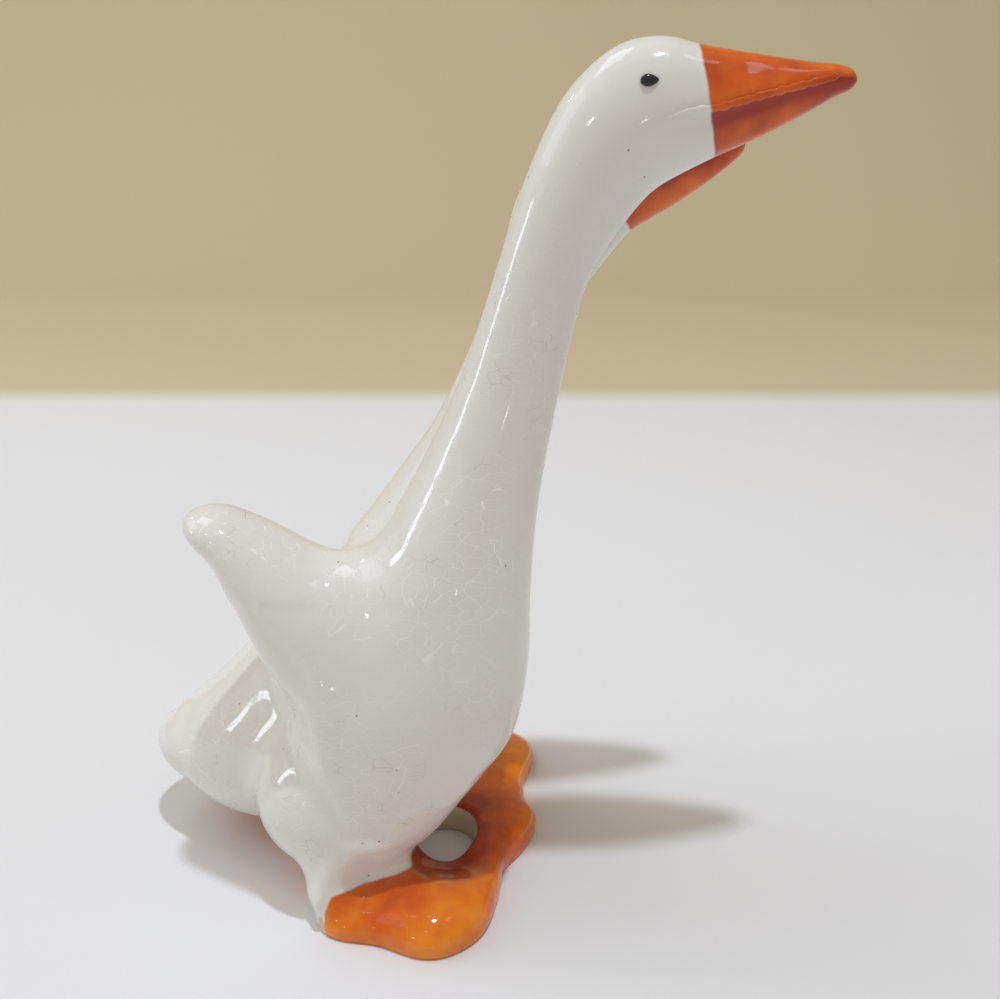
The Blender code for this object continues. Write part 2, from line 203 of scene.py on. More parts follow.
# %% The other forms
def outline(corners, centre, angle):
    """Distance from a centre to a smooth closed curve through corners, as a periodic cubic of
    the angle."""
    off = np.array(corners) - centre
    theta = np.unwrap(np.arctan2(off[:, 1], off[:, 0]))
    theta = np.concatenate([theta - 2 * np.pi, theta, theta + 2 * np.pi])
    radius = np.tile(np.hypot(off[:, 0], off[:, 1]), 3)
    slope = np.gradient(radius, theta)
    i = np.clip(np.searchsorted(theta, angle, side="right") - 1, 0, len(theta) - 2)
    gap = theta[i + 1] - theta[i]
    t = (angle - theta[i]) / gap
    return (
        (2 * t**3 - 3 * t**2 + 1) * radius[i]
        + (t**3 - 2 * t**2 + t) * gap * slope[i]
        + (3 * t**2 - 2 * t**3) * radius[i + 1]
        + (t**3 - t**2) * gap * slope[i + 1]
    )


def ellipsoid(centre, radii, rings=64, points=96):
    """Centre plus radii times (sin v cos u, sin v sin u, cos v)."""
    v = np.linspace(0, np.pi, rings)[:, None]
    u = np.linspace(0, 2 * np.pi, points, endpoint=False)[None, :]
    unit = np.stack([np.sin(v) * np.cos(u), np.sin(v) * np.sin(u), np.cos(v) + 0 * u], axis=2)
    return np.array(centre) + unit * radii


LEG_CENTRE = np.array([-1.0, -14.0])
LEG_CORNERS = [
    (-8.8, -23.6), (-6.6, -25.6), (-3.2, -22.0), (1.4, -17.2), (4.4, -12.6), (4.6, -7.0),
    (2.0, -4.5), (-5.0, -4.5), (-8.6, -9.0), (-9.4, -17.0),
]
# height in millimetres, and size as a share of the outline
LEG_LEVELS = np.array([
    (1.0, 0.0), (1.0, 0.88), (1.5, 0.9), (4.5, 1.0), (10.0, 1.0), (15.0, 1.0), (15.0, 0.0),
])
THIGH_RADII = np.array([10.2, 10.6])
RUMP_CENTRE = (-4.6, -12.6, 16.5)
RUMP_RADII = (13.2, 11.6, 12.0)


def leg(side):
    """Rings at their levels and sizes. The outline turns from the foot's into an oval thigh
    between 5 and 14 mm up, inside the belly; side -1 mirrors the leg to the far goose."""
    angle = np.linspace(-np.pi, np.pi, 120, endpoint=False)
    climb = np.linspace(0, 6, 61)
    level = np.interp(climb, np.arange(7), LEG_LEVELS[:, 0])[:, None]
    size = np.interp(climb, np.arange(7), LEG_LEVELS[:, 1])[:, None]
    thigh = THIGH_RADII.prod() / np.hypot(THIGH_RADII[1] * np.cos(angle), THIGH_RADII[0] * np.sin(angle))
    risen = np.clip((level - 5) / 9, 0, 1)
    radius = outline(LEG_CORNERS, LEG_CENTRE, angle) * (1 - risen) + thigh * risen
    x = LEG_CENTRE[0] + radius * size * np.cos(angle)
    y = side * (LEG_CENTRE[1] + radius * size * np.sin(angle))
    rings = np.stack([x, y, level + 0 * x], axis=2)
    return rings[:, ::side]


HOLE = np.array([10.6, -4.8])
HOLE_RADII = np.array([5.1, 5.8])
SLAB_CORNERS = [
    (-6.6, -25.8), (1.5, -28.4), (10.6, -31.3), (16.6, -27.0), (19.0, -20.0), (20.0, -12.8),
    (24.0, -4.5), (25.8, 2.0), (24.0, 8.8), (24.2, 15.0), (25.8, 22.0), (21.6, 30.0),
    (11.0, 31.6), (0.0, 28.6), (-7.6, 23.4), (-9.6, 12.0), (-9.6, -8.0), (-9.2, -19.0),
]
# centre x and y, height and radius of the bells on the slab's top
SWELLS = [(9.0, -24.0, 2.0, 8.0), (11.2, -13.0, -3.2, 5.5)]


def slab_top(x, y):
    """Five millimetres, plus a bell for the domed near foot, less a bell beside the hole."""
    return 5.0 + sum(h * np.exp(-((x - cx) ** 2 + (y - cy) ** 2) / r**2) for cx, cy, h, r in SWELLS)


def slab(points=240):
    """Rings round the hole: the outer edge at the table, a quarter round up and in over the
    top to a narrow lip, down the wall of the hole and back underneath."""
    angle = np.linspace(-np.pi, np.pi, points, endpoint=False)
    edge = outline(SLAB_CORNERS, HOLE, angle)
    rim = HOLE_RADII.prod() / np.hypot(HOLE_RADII[1] * np.cos(angle), HOLE_RADII[0] * np.sin(angle))
    turn = np.linspace(0, np.pi / 2, 40)
    lip = rim + 0.8
    radii = [lip + (edge - lip) * np.cos(t) ** 0.6 for t in turn]
    levels = [0.2 + 0.8 * np.sin(t) ** 0.7 for t in turn]
    radii = [edge * 0.985] + radii + [rim] * 6
    levels = [0.0] + levels + list(np.linspace(0.85, 0.0, 6))
    under = [rim + (edge * 0.985 - rim) * s for s in np.linspace(0, 1, 20)[1:-1]]
    radius = np.array(radii + under)
    level = np.array(levels + [0.0] * len(under))[:, None]
    x = HOLE[0] + radius * np.cos(angle)
    y = HOLE[1] + radius * np.sin(angle)
    return np.stack([x, y, slab_top(x, y) * level], axis=2)


print("slab top by the near foot:", round(float(slab_top(9.0, -24.0)), 2), "mm")

# %% [markdown]
# ## One body
# In the mould all these forms are one. A Boolean would join them with hard creases, so the
# grids are put into one mesh and a voxel remesh lays a single even net over all of them. The
# helpers below build such nets, find their edges and neighbours, smooth them and give their
# normals, all as whole arrays.

# %% Nets
def grid_faces(rings, points, start, wrap):
    """Quads between neighbouring rings of a grid, the last ring joined to the first if wrap."""
    i = np.arange(rings if wrap else rings - 1)[:, None]
    j = np.arange(points)[None, :]
    k = (j + 1) % points
    low, high = i * points, (i + 1) % rings * points
    return start + np.stack([low + j, low + k, high + k, high + j], axis=2).reshape(-1, 4)


def remeshed(points, quads, voxel):
    """One even net of quads over everything that the faces enclose."""
    mesh = bpy.data.meshes.new("net")
    mesh.from_pydata(points.tolist(), [], quads.tolist())
    obj = bpy.data.objects.new("net", mesh)
    bpy.context.scene.collection.objects.link(obj)
    mod = obj.modifiers.new("net", "REMESH")
    mod.mode = "VOXEL"
    mod.voxel_size = voxel
    out = bpy.data.meshes.new_from_object(obj.evaluated_get(bpy.context.evaluated_depsgraph_get()))
    new_points = np.empty(len(out.vertices) * 3)
    new_quads = np.empty(len(out.loops), dtype=np.int32)
    out.vertices.foreach_get("co", new_points)
    out.loops.foreach_get("vertex_index", new_quads)
    bpy.data.objects.remove(obj)
    return new_points.reshape(-1, 3), new_quads.reshape(-1, 4)


def edges_of(quads):
    """Each edge of the net once, as pairs of point numbers."""
    pairs = np.stack([quads, np.roll(quads, -1, axis=1)], axis=2).reshape(-1, 2)
    return np.unique(np.sort(pairs, axis=1), axis=0)


def neighbour_mean(values, edges):
    """Mean of the neighbours' values at each point."""
    ends = np.concatenate([edges, edges[:, ::-1]])
    count = np.bincount(ends[:, 0], minlength=len(values))
    columns = [np.bincount(ends[:, 0], values[ends[:, 1], c], len(values)) for c in range(values.shape[1])]
    return np.stack(columns, axis=1) / count[:, None]


def settled(points, edges, passes):
    """Each pass moves a point half way to its neighbours' mean and then a little more than
    that back, which takes ripples out and leaves the size."""
    for _ in range(passes):
        points = points + 0.5 * (neighbour_mean(points, edges) - points)
        points = points - 0.52 * (neighbour_mean(points, edges) - points)
    return points


def normals_of(points, quads, edges, passes=2):
    """Unit normals: the cross product of each quad's diagonals, summed at its corners and then
    blended with the neighbours' in a number of passes."""
    across = np.cross(points[quads[:, 2]] - points[quads[:, 0]], points[quads[:, 3]] - points[quads[:, 1]])
    corners = quads.ravel()
    columns = [np.bincount(corners, np.repeat(across[:, c], 4), len(points)) for c in range(3)]
    out = np.stack(columns, axis=1)
    for _ in range(passes):
        out = out + neighbour_mean(out, edges)
    return out / np.linalg.norm(out, axis=1, keepdims=True)


# %% Fuse the forms
VOXEL = 0.6
grids = [
    (tall_grid, False), (low_grid, False), (ellipsoid(RUMP_CENTRE, RUMP_RADII), False),
    (leg(1), False), (leg(-1), False), (slab(), True),
]
points = np.concatenate([g.reshape(-1, 3) for g, _ in grids])
starts = np.cumsum([0] + [g.shape[0] * g.shape[1] for g, _ in grids])
quads = np.concatenate([grid_faces(g.shape[0], g.shape[1], s, w) for (g, w), s in zip(grids, starts)])
points, quads = remeshed(points, quads, VOXEL)
edges = edges_of(quads)
points = settled(points, edges, 6)
print("fused net:", len(points), "points")

# %% [markdown]
# ## Slip and glaze in the valleys
# On the real figurine slip and glaze pool in every narrow valley. So the net is grown
# outwards, netted again and shrunk back: a valley narrower than the growth has closed up and
# stays filled, and every open slope comes back to its place. Smoothing alone would thin the
# necks as well.

# %% Fill the narrow valleys
def pool(p):
    """How wide a valley fills, in millimetres: most round the bodies, less where the feet meet
    the legs, next to nothing on the heads."""
    return 0.25 + 2.6 * np.clip((74 - p[:, 2]) / 22, 0, 1) - 1.7 * np.clip((20 - p[:, 2]) / 14, 0, 1)


points = points + normals_of(points, quads, edges) * pool(points)[:, None]
points, quads = remeshed(points, quads, VOXEL)
edges = edges_of(quads)
points = settled(points, edges, 8)
points = points - normals_of(points, quads, edges, 8) * pool(points)[:, None]
points = settled(points, edges, 10)
print("pooled net:", len(points), "points,", 2 * len(quads), "triangles")

# %% [markdown]
# ## Soft valleys
# What is left of the valleys is still sharper than on the fired piece. How deep a point lies
# is measured against a much smoother copy of the skin, and only deep points are evened out,
# first everywhere below the upper necks, then once more and wider above the feet, where the
# skin may only rise. One smoothing of the whole net would take the beaks and tails with it.

# %% Ease the valleys
BODIES_BELOW = 80


def hollows(points, quads, edges, passes=30):
    """Millimetres by which a much smoother skin would lie above each point: the valleys."""
    smooth = points
    for _ in range(passes):
        smooth = smooth + 0.8 * (neighbour_mean(smooth, edges) - smooth)
    return ((smooth - points) * normals_of(points, quads, edges)).sum(axis=1)


def eased(points, quads, edges, where, blur, passes):
    """Evens out the valleys in a number of passes, each point moving towards its neighbours'
    mean the more, the deeper it lies; where says how much of that happens at each point, and
    blur is the number of passes that spread the depth over the neighbours first."""
    valley = (np.clip(hollows(points, quads, edges) / 0.18, 0, 1) * where)[:, None]
    for _ in range(blur):
        valley = valley + 0.8 * (neighbour_mean(valley, edges) - valley)
    for _ in range(passes):
        points = points + 0.7 * valley * (neighbour_mean(points, edges) - points)
    return points


points = eased(points, quads, edges, points[:, 2] < BODIES_BELOW, 6, 30)
upper = np.clip((points[:, 2] - 14) / 6, 0, 1) * (points[:, 2] < BODIES_BELOW)
normals = normals_of(points, quads, edges, 4)
fill = ((eased(points, quads, edges, upper, 12, 50) - points) * normals).sum(axis=1, keepdims=True)
fill = np.clip(fill, 0, None)
for _ in range(14):
    fill = fill + 0.8 * (neighbour_mean(fill, edges) - fill)
points = points + fill * normals
print("filled by up to %.2f mm" % fill.max())

# %% [markdown]
# ## Soft modelling by hand
# Before firing, the maker pressed shallow dents beside the top of the beak, where a goose has
# its nostrils, and wiped the foot flat. Each dent is a bell-shaped push along the normal,
# centred on a point of the skin that is found with the loft's own formula. The foot's lowest
# points are moved down to the table and stop there.

# %% Dents
DENT_PLACE = -3.1
DENT_TURN = 48
DENT_RADII = (3.6, 2.0, 1.8)
DENT_DEEP = 0.35


def skin_point(stations, plane_y, place, degrees):
    """One point of the skin, at a place among the stations and a turn from the back."""
    row = rows_at(stations, np.array([float(place)]))
    return skin(row, plane_y, np.radians([float(degrees)]))[0, 0]


normals = normals_of(points, quads, edges)
for stations, plane_y in ((TALL, TALL_Y), (LOW, LOW_Y)):
    for degrees in (DENT_TURN, -DENT_TURN):
        centre = skin_point(stations, plane_y, len(stations) + DENT_PLACE, degrees)
        away = (((points - centre) / DENT_RADII) ** 2).sum(axis=1)
        points = points - DENT_DEEP * np.exp(-away)[:, None] * normals
print("dents: %.2f mm deep" % DENT_DEEP)

# %% A flat foot
points[:, 2] = np.maximum(points[:, 2] - 0.35 * np.clip(1 - points[:, 2] / 1.5, 0, 1), 0.0)
flat = (points[:, 2] < 0.3) & (normals[:, 2] < -0.7)
points[flat, 2] = 0.0
print("points on the table:", int(flat.sum()))

# %% [markdown]
# ## The mouth
# The upper beak closes over the lower one, and right below its edge the orange is painted
# deeper, a painted shade under the lip. So each point near a head learns how far above the
# mouth's line it lies and how deep the mouth is there, and the paint later takes that painted
# shade from those two numbers. A picture painted by hand could do it too, but numbers stay
# sharp at any size.

# %% The mouth's line
def mouth_of(stations, near):
    """For points near a head, millimetres above the mouth's line and how deep the mouth is,
    from 0 to 1. A point belongs to the nearest of many lines that join the two rails; up goes
    from -1 on the belly rail to 1 on the back rail."""
    rows = rows_at(stations, np.linspace(len(stations) - 8, len(stations) - 1, 320))
    line = rows[:, 0:2] - rows[:, 2:4]
    length = np.linalg.norm(line, axis=1)
    off = near[:, None, ::2] - rows[None, :, 2:4]
    beside = np.abs(off[..., 0] * line[:, 1] - off[..., 1] * line[:, 0]) / length
    pick = beside.argmin(axis=1)
    off = off[np.arange(len(near)), pick]
    up = 2 * (off * line[pick]).sum(axis=1) / length[pick] ** 2 - 1
    return (up - rows[pick, 7]) * length[pick] / 2, np.sqrt(np.clip(rows[pick, 6] / 0.08, 0, 1))


mouth_mm, mouth_deep = np.full(len(points), 3.0), np.zeros(len(points))
for stations, head in (
    (TALL, (points[:, 1] < -1) & (points[:, 2] > 102) & (points[:, 0] > 30)),
    (LOW, (points[:, 1] > -1) & (points[:, 2] > 90) & (points[:, 0] > 24)),
):
    mouth_mm[head], mouth_deep[head] = mouth_of(stations, points[head])
mouth_mm = np.clip(mouth_mm, -3, 3)
print("points on the heads:", int((mouth_deep > 0).sum()))

# %% [markdown]
# ## Where the paint goes
# Paint edges must be crisp, crisper than the net, whose points are 0.6 mm apart. So the net
# doesn't carry colours: it carries how far each point is inside the paint's edge, in
# millimetres, which is a smooth number, and the material turns it into a sharp edge near zero.
# Beaks and feet are orange. The foot's underside, the wall of the drain hole and a small chip
# at the back of the near foot are bare clay.

# %% Distances to the paint edges
x, y, z = points.T


def beak_side(p, stations, plane_y):
    """Millimetres in front of the upright cut through the beak's first station, with the cut
    bent back a little on the cheeks."""
    back, belly = stations[BEAK_STATION, 0:2], stations[BEAK_STATION, 2:4]
    line = (back - belly) / np.linalg.norm(back - belly)
    middle = (back + belly) / 2
    ahead = (p[:, 0] - middle[0]) * line[1] - (p[:, 2] - middle[1]) * line[0]
    return ahead + 0.09 * np.abs(p[:, 1] - plane_y)


def outside_leg(side):
    """Millimetres outside the leg's outline, along the ray from the leg's centre."""
    dx, dy = x - LEG_CENTRE[0], side * y - LEG_CENTRE[1]
    return np.hypot(dx, dy) - outline(LEG_CORNERS, LEG_CENTRE, np.arctan2(dy, dx))


on_beak = np.where(y < -1, beak_side(points, TALL, TALL_Y), beak_side(points, LOW, LOW_Y))
off_legs = np.minimum(outside_leg(1), outside_leg(-1))
# beside the hole the paint climbs 3 mm higher
climb = 3.0 * np.exp(-((x - 9.0) ** 2 + (y + 10.0) ** 2) / 6.0**2)
on_foot = np.minimum(off_legs - 0.2, slab_top(x, y) + 1.0 + climb - z)
orange = np.clip(np.maximum(on_beak, on_foot), -6, 6)

hole_way = np.hypot((x - HOLE[0]) / HOLE_RADII[0], (y - HOLE[1]) / HOLE_RADII[1])
in_hole = np.where(z < slab_top(x, y) + 1.5, 1.04 - hole_way, -1.0) * HOLE_RADII.mean()
off_x, off_y = x - HOLE[0], y - HOLE[1]
from_edge = outline(SLAB_CORNERS, HOLE, np.arctan2(off_y, off_x)) - np.hypot(off_x, off_y)
under = np.where(normals[:, 2] < -0.7, np.minimum(0.1 - z, from_edge - 1.5), -1)
CHIP = (-7.2, -25.2, 1.6)
CHIP_RADII = (1.0, 1.0, 1.4)
chip = 0.9 - np.linalg.norm((points - CHIP) / CHIP_RADII, axis=1)
bare = np.clip(np.maximum(np.maximum(in_hole, under), chip), -2, 2)

# the paint is deeper in hollows (thicker paint and painted shade) and lighter on rounded edges;
# on the foot painted shade gathers round the hole and the open foot is painted lighter
shade_and_thick_paint = np.clip(hollows(points, quads, edges) / 0.35, -1, 1)
shade_round_hole = np.exp(-((hole_way - 1.0) / 1.1) ** 2)
shade_and_thick_paint = np.where(z < slab_top(x, y) + 4, 0.5 * shade_and_thick_paint - 1.25 + 2.67 * shade_round_hole, shade_and_thick_paint)
print("orange share of the skin: %.2f" % (orange > 0).mean())

# %% [markdown]
# ## Into Blender
# The net becomes one mesh, in metres, with its object at the origin as the CAD part's is. The
# distances ride along as point attributes.

# %% Build the figurine
def as_mesh(name, points, quads):
    """A smooth-shaded mesh object in metres from points in millimetres and quads."""
    mesh = bpy.data.meshes.new(name)
    mesh.vertices.add(len(points))
    mesh.vertices.foreach_set("co", (points / 1000).ravel())
    mesh.loops.add(quads.size)
    mesh.loops.foreach_set("vertex_index", quads.ravel())
    mesh.polygons.add(len(quads))
    mesh.polygons.foreach_set("loop_start", np.arange(len(quads)) * 4)
    mesh.update(calc_edges=True)
    mesh.shade_smooth()
    obj = bpy.data.objects.new(name, mesh)
    bpy.context.scene.collection.objects.link(obj)
    return obj


def carry(obj, name, values):
    """Gives each point of a mesh one number, which a material reads by its name."""
    obj.data.attributes.new(name, "FLOAT", "POINT").data.foreach_set("value", values)


geese = as_mesh("glazed_geese", points, quads)
carry(geese, "orange_mm", orange)
carry(geese, "bare_mm", bare)
carry(geese, "shade_and_thick_paint", shade_and_thick_paint)
carry(geese, "mouth_mm", mouth_mm)
carry(geese, "mouth_deep", mouth_deep)
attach(geese, "root")
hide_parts("goose_pair")
print(geese.name, [round(d * 1000, 1) for d in geese.dimensions], "mm")

# %% [markdown]
# ## Eyes
# Each eye is one drop of black paint set down with a brush and pulled forwards, so it is round
# behind, pointed in front, and stands a little proud under the glaze. Painting it on the skin
# would lose that bulge and its glint.

# %% Eye drops
EYE_BACK = 6.9
EYE_TURN = 65.0
EYE_RADII = (0.96, 0.8, 0.4)
EYE_PROUD = 0.1


def eye_drop(stations, plane_y, side, rings=24, points_round=48):
    """A drop on the skin: an ellipsoid of EYE_RADII round a centre just off the skin, whose
    reach ahead is multiplied by 1 + 0.42 c^4 for c the cosine of the turn from ahead, which
    pulls it to a point there. Ahead slopes a little down, towards the beak."""
    _, far = spread(stations)
    place = np.interp(far[BEAK_STATION] - EYE_BACK, far, np.arange(len(far)))
    seat = skin_point(stations, plane_y, place, side * EYE_TURN)
    fore = skin_point(stations, plane_y, place + 0.3, side * EYE_TURN) - seat
    lift = skin_point(stations, plane_y, place, side * (EYE_TURN - 8)) - seat
    inwards = np.cross(fore, lift) * side
    inwards = inwards / np.linalg.norm(inwards)
    ahead = fore / np.linalg.norm(fore)
    ahead = ahead - 0.3 * lift / np.linalg.norm(lift)
    ahead = ahead - inwards * (ahead @ inwards)
    ahead = ahead / np.linalg.norm(ahead)
    above = np.cross(inwards, ahead) * side
    v = np.linspace(0, np.pi, rings)[:, None]
    u = np.linspace(0, 2 * np.pi, points_round, endpoint=False)[None, :]
    pull = 1 + 0.42 * np.clip(np.cos(u), 0, 1) ** 4
    along = EYE_RADII[0] * np.sin(v) * np.cos(u) * pull
    across = EYE_RADII[1] * np.sin(v) * np.sin(u)
    depth = EYE_RADII[2] * np.cos(v) + 0 * u
    centre = seat - inwards * EYE_PROUD
    return centre + along[..., None] * ahead + across[..., None] * above + depth[..., None] * inwards


drops = []
for name, stations, plane_y, side in (
    ("near_eye_right", TALL, TALL_Y, -1), ("near_eye_left", TALL, TALL_Y, 1),
    ("far_eye_right", LOW, LOW_Y, -1), ("far_eye_left", LOW, LOW_Y, 1),
):
    drop = eye_drop(stations, plane_y, side)
    drop_quads = grid_faces(drop.shape[0], drop.shape[1], 0, False)
    drop = as_mesh(name, drop.reshape(-1, 3), drop_quads)
    drops.append(drop)
    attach(drop, "root")
print("eyes:", len(drops))

# %% [markdown]
# ## Lips
# The upper beak ends in a narrow lip that runs on as a faint fold over the cheek. It is about
# a millimetre high, too fine for the net, so it is a roll of its own, half sunk in the skin
# along the mouth's line. A bump in the material would be simpler, but it fades where light
# comes along the surface, as it does here. Two sines bead the roll, so its long glint breaks
# into dashes.

# %% Lip rolls
LIP_LENGTH = 4.9
LIP_HIGH = 0.5
LIP_PROUD = 0.28
LIP_BEADS = (1.5, 2.5)


def lip_roll(stations, plane_y, side, rings=220, points_round=20):
    """Ellipses along the mouth's line, twice LIP_HIGH high and LIP_PROUD proud, that rise
    slowly on the cheek, end bluntly near the tip, and swell by two sines of the distance.
    LIP_LENGTH is a number of stations."""
    rows = rows_at(stations, np.linspace(len(stations) - 1 - LIP_LENGTH, len(stations) - 1, rings))
    turn = side * np.arccos(rows[:, 7] + 0.06)
    i = np.arange(rings)
    line = skin(rows, plane_y, turn)[i, i]
    above = skin(rows, plane_y, turn - side * 0.12)[i, i] - line
    above = above / np.linalg.norm(above, axis=1, keepdims=True)
    out = -side * np.cross(np.gradient(line, axis=0), above)
    out = out / np.linalg.norm(out, axis=1, keepdims=True)
    far = np.concatenate([[0.0], np.cumsum(np.linalg.norm(np.diff(line, axis=0), axis=1))])
    size = np.clip(far / 7, 0, 1) ** 0.7 * np.sqrt(np.clip((far[-1] - far) / 1.5, 0, 1))
    short_beads = 0.13 * np.sin(2 * np.pi * far / LIP_BEADS[0])
    long_beads = 0.1 * np.sin(2 * np.pi * far / LIP_BEADS[1] + 1)
    size = size * (1 + short_beads + long_beads)
    phi = np.linspace(0, 2 * np.pi, points_round, endpoint=False)
    high = (LIP_HIGH * size)[:, None] * np.cos(phi)
    proud = (LIP_PROUD * size)[:, None] * np.sin(phi)
    return line[:, None] + high[..., None] * above[:, None] + proud[..., None] * out[:, None]


lips = []
for name, stations, plane_y, side in (
    ("near_lip_right", TALL, TALL_Y, -1), ("near_lip_left", TALL, TALL_Y, 1),
    ("far_lip_right", LOW, LOW_Y, -1), ("far_lip_left", LOW, LOW_Y, 1),
):
    roll = lip_roll(stations, plane_y, side)
    roll_points = roll.reshape(-1, 3)
    lip = as_mesh(name, roll_points, grid_faces(roll.shape[0], roll.shape[1], 0, False)[:, ::-side])
    painted_mm = np.clip(beak_side(roll_points, stations, plane_y), -6, 6)
    carry(lip, "orange_mm", painted_mm)
    carry(lip, "bare_mm", 0 * painted_mm - 2)
    # the lips' paint is set a little lighter, a painted highlight along the lip
    carry(lip, "shade_and_thick_paint", 0 * painted_mm - 0.3)
    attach(lip, "root")
    lips.append(lip)
print("lips:", len(lips))

# %% [markdown]
# ## Colours and nodes
# Colours are written as they look on screen and turned to linear light once. One helper adds a
# node, sets it and links it. Some nodes have several sockets of one name, so those are given
# by number: Mix takes its factor at 0 and its two colours at 6 and 7 and gives the colour at 2,
# and Map Range takes the value at 0, its old low and high at 1 and 2, and its new ones at 3
# and 4.

# %% Two helpers for materials
def colour(code):
    """An sRGB hex value as linear red, green, blue and full alpha."""
    srgb = [int(code[i:i + 2], 16) / 255 for i in (1, 3, 5)]
    return tuple(c / 12.92 if c <= 0.04045 else ((c + 0.055) / 1.055) ** 2.4 for c in srgb) + (1.0,)


def add(tree, kind, inputs=None, **settings):
    """Adds a node. Settings are its properties; inputs are values or sockets to link."""
    new = tree.nodes.new(kind)
    for key, value in settings.items():
        setattr(new, key, value)
    for key, value in (inputs or {}).items():
        if isinstance(value, bpy.types.NodeSocket):
            tree.links.new(value, new.inputs[key])
        else:
            new.inputs[key].default_value = value
    return new


def per_mm(size):
    """Texture scale for a pattern whose cells are this many millimetres wide."""
    return 1000.0 / size


GLAZE_IOR = 1.52
print("a cell of 2.6 mm has the scale %.1f" % per_mm(2.6))

# %% [markdown]
# ## The glaze
# It is white earthenware under a thick clear glaze, fired glossy, with orange underglaze paint
# on beaks and feet. A low roughness and the glaze's own IOR give small sharp reflections over a
# soft body colour. The glaze has crazed: it shrank more than the clay and split into cells
# about 2.6 mm wide and less high, most of whose hairlines only catch the light, while some
# hold dirt. Gas left a few dark pinholes. The orange is lighter where the paint ran thin and
# deeper where it is thick. It also carries painted shade, deeper in hollows, round the drain
# hole and right under the lip, and it is painted lighter on rounded edges, on the open foot
# and, as a painted highlight, on the lips. The wall of the hole and the foot's underside are
# bare biscuit, rough and without gloss. It is all one material, because the paint's edge must
# cut across the net's faces, and it is built in steps: the white, the crazing, the pinholes,
# the paint, the bare clay and the relief.

# %% White body
# a warm white with faint broad clouds, as the clay shows through glaze of uneven thickness
glaze = bpy.data.materials.new("clear_glaze_over_white_earthenware")
glaze.use_nodes = True
tree = glaze.node_tree
shader = tree.nodes["Principled BSDF"]
spot = add(tree, "ShaderNodeTexCoord").outputs["Object"]

broad = add(tree, "ShaderNodeTexNoise", {"Vector": spot, "Scale": per_mm(22), "Detail": 3.0})
white = add(
    tree, "ShaderNodeMix", {0: broad.outputs["Fac"], 6: colour("#e6e4df"), 7: colour("#e0ded8")},
    data_type="RGBA",
)
print("white made of", len(tree.nodes), "nodes")

# %% Crazing
# The hairlines are drawn 0.1 mm wide, wider than real ones, so that they show. They come in
# patches and grow faint towards the heads.
bent = add(tree, "ShaderNodeTexNoise", {"Vector": spot, "Scale": per_mm(5), "Detail": 2.0})
shift = add(
    tree, "ShaderNodeVectorMath", {0: bent.outputs["Color"], 1: (0.0011, 0.0011, 0.0011)},
    operation="MULTIPLY",
)
wavy = add(tree, "ShaderNodeVectorMath", {0: spot, 1: shift.outputs[0]}, operation="ADD")
flatter = add(tree, "ShaderNodeVectorMath", {0: wavy.outputs[0], 1: (1.0, 1.0, 1.7)}, operation="MULTIPLY")
cells = add(
    tree, "ShaderNodeTexVoronoi", {"Vector": flatter.outputs[0], "Scale": per_mm(2.6)},
    feature="DISTANCE_TO_EDGE",
)
hair = add(
    tree, "ShaderNodeMapRange", {0: cells.outputs["Distance"], 1: 0.0, 2: 0.022, 3: 1.0, 4: 0.0},
    interpolation_type="SMOOTHSTEP",
)
patchy = add(tree, "ShaderNodeTexNoise", {"Vector": spot, "Scale": per_mm(16), "Detail": 2.0})
shown = add(
    tree, "ShaderNodeMapRange", {0: patchy.outputs["Fac"], 1: 0.38, 2: 0.66, 3: 0.15, 4: 0.8},
    interpolation_type="SMOOTHSTEP",
)
level = add(tree, "ShaderNodeSeparateXYZ", {0: spot}).outputs["Z"]
on_body = add(tree, "ShaderNodeMapRange", {0: level, 1: 0.075, 2: 0.105, 3: 1.0, 4: 0.2})
seen = add(tree, "ShaderNodeMath", {0: shown.outputs[0], 1: on_body.outputs[0]}, operation="MULTIPLY")
crazing = add(tree, "ShaderNodeMath", {0: hair.outputs[0], 1: seen.outputs[0]}, operation="MULTIPLY")
dirty = add(
    tree, "ShaderNodeMapRange", {0: bent.outputs["Fac"], 1: 0.56, 2: 0.68, 3: 0.0, 4: 1.0},
    interpolation_type="SMOOTHSTEP",
)
crack = add(
    tree, "ShaderNodeMix", {0: dirty.outputs[0], 6: colour("#fdfcfb"), 7: colour("#a8a096")},
    data_type="RGBA",
)
crazed = add(
    tree, "ShaderNodeMix", {0: crazing.outputs[0], 6: white.outputs[2], 7: crack.outputs[2]},
    data_type="RGBA",
)
print("crazing made, now", len(tree.nodes), "nodes")

# %% Pinholes
# Small dark balls round the points of a 3 mm pattern, of which chance keeps a third. The few
# that cut the skin show as dots, at most 0.4 mm wide.
elsewhere = add(tree, "ShaderNodeVectorMath", {0: spot, 1: (0.0131, 0.0072, 0.0214)}, operation="ADD")
dots = add(tree, "ShaderNodeTexVoronoi", {"Vector": elsewhere.outputs[0], "Scale": per_mm(3)}, feature="F1")
near_dot = add(tree, "ShaderNodeMapRange", {0: dots.outputs["Distance"], 1: 0.03, 2: 0.065, 3: 1.0, 4: 0.0})
chance = add(tree, "ShaderNodeSeparateColor", {0: dots.outputs["Color"]})
some = add(tree, "ShaderNodeMath", {0: chance.outputs[0], 1: 0.35}, operation="LESS_THAN")
pinhole = add(tree, "ShaderNodeMath", {0: near_dot.outputs[0], 1: some.outputs[0]}, operation="MULTIPLY")
pitted = add(
    tree, "ShaderNodeMix", {0: pinhole.outputs[0], 6: crazed.outputs[2], 7: colour("#857c72")},
    data_type="RGBA",
)
print("pinholes made, now", len(tree.nodes), "nodes")
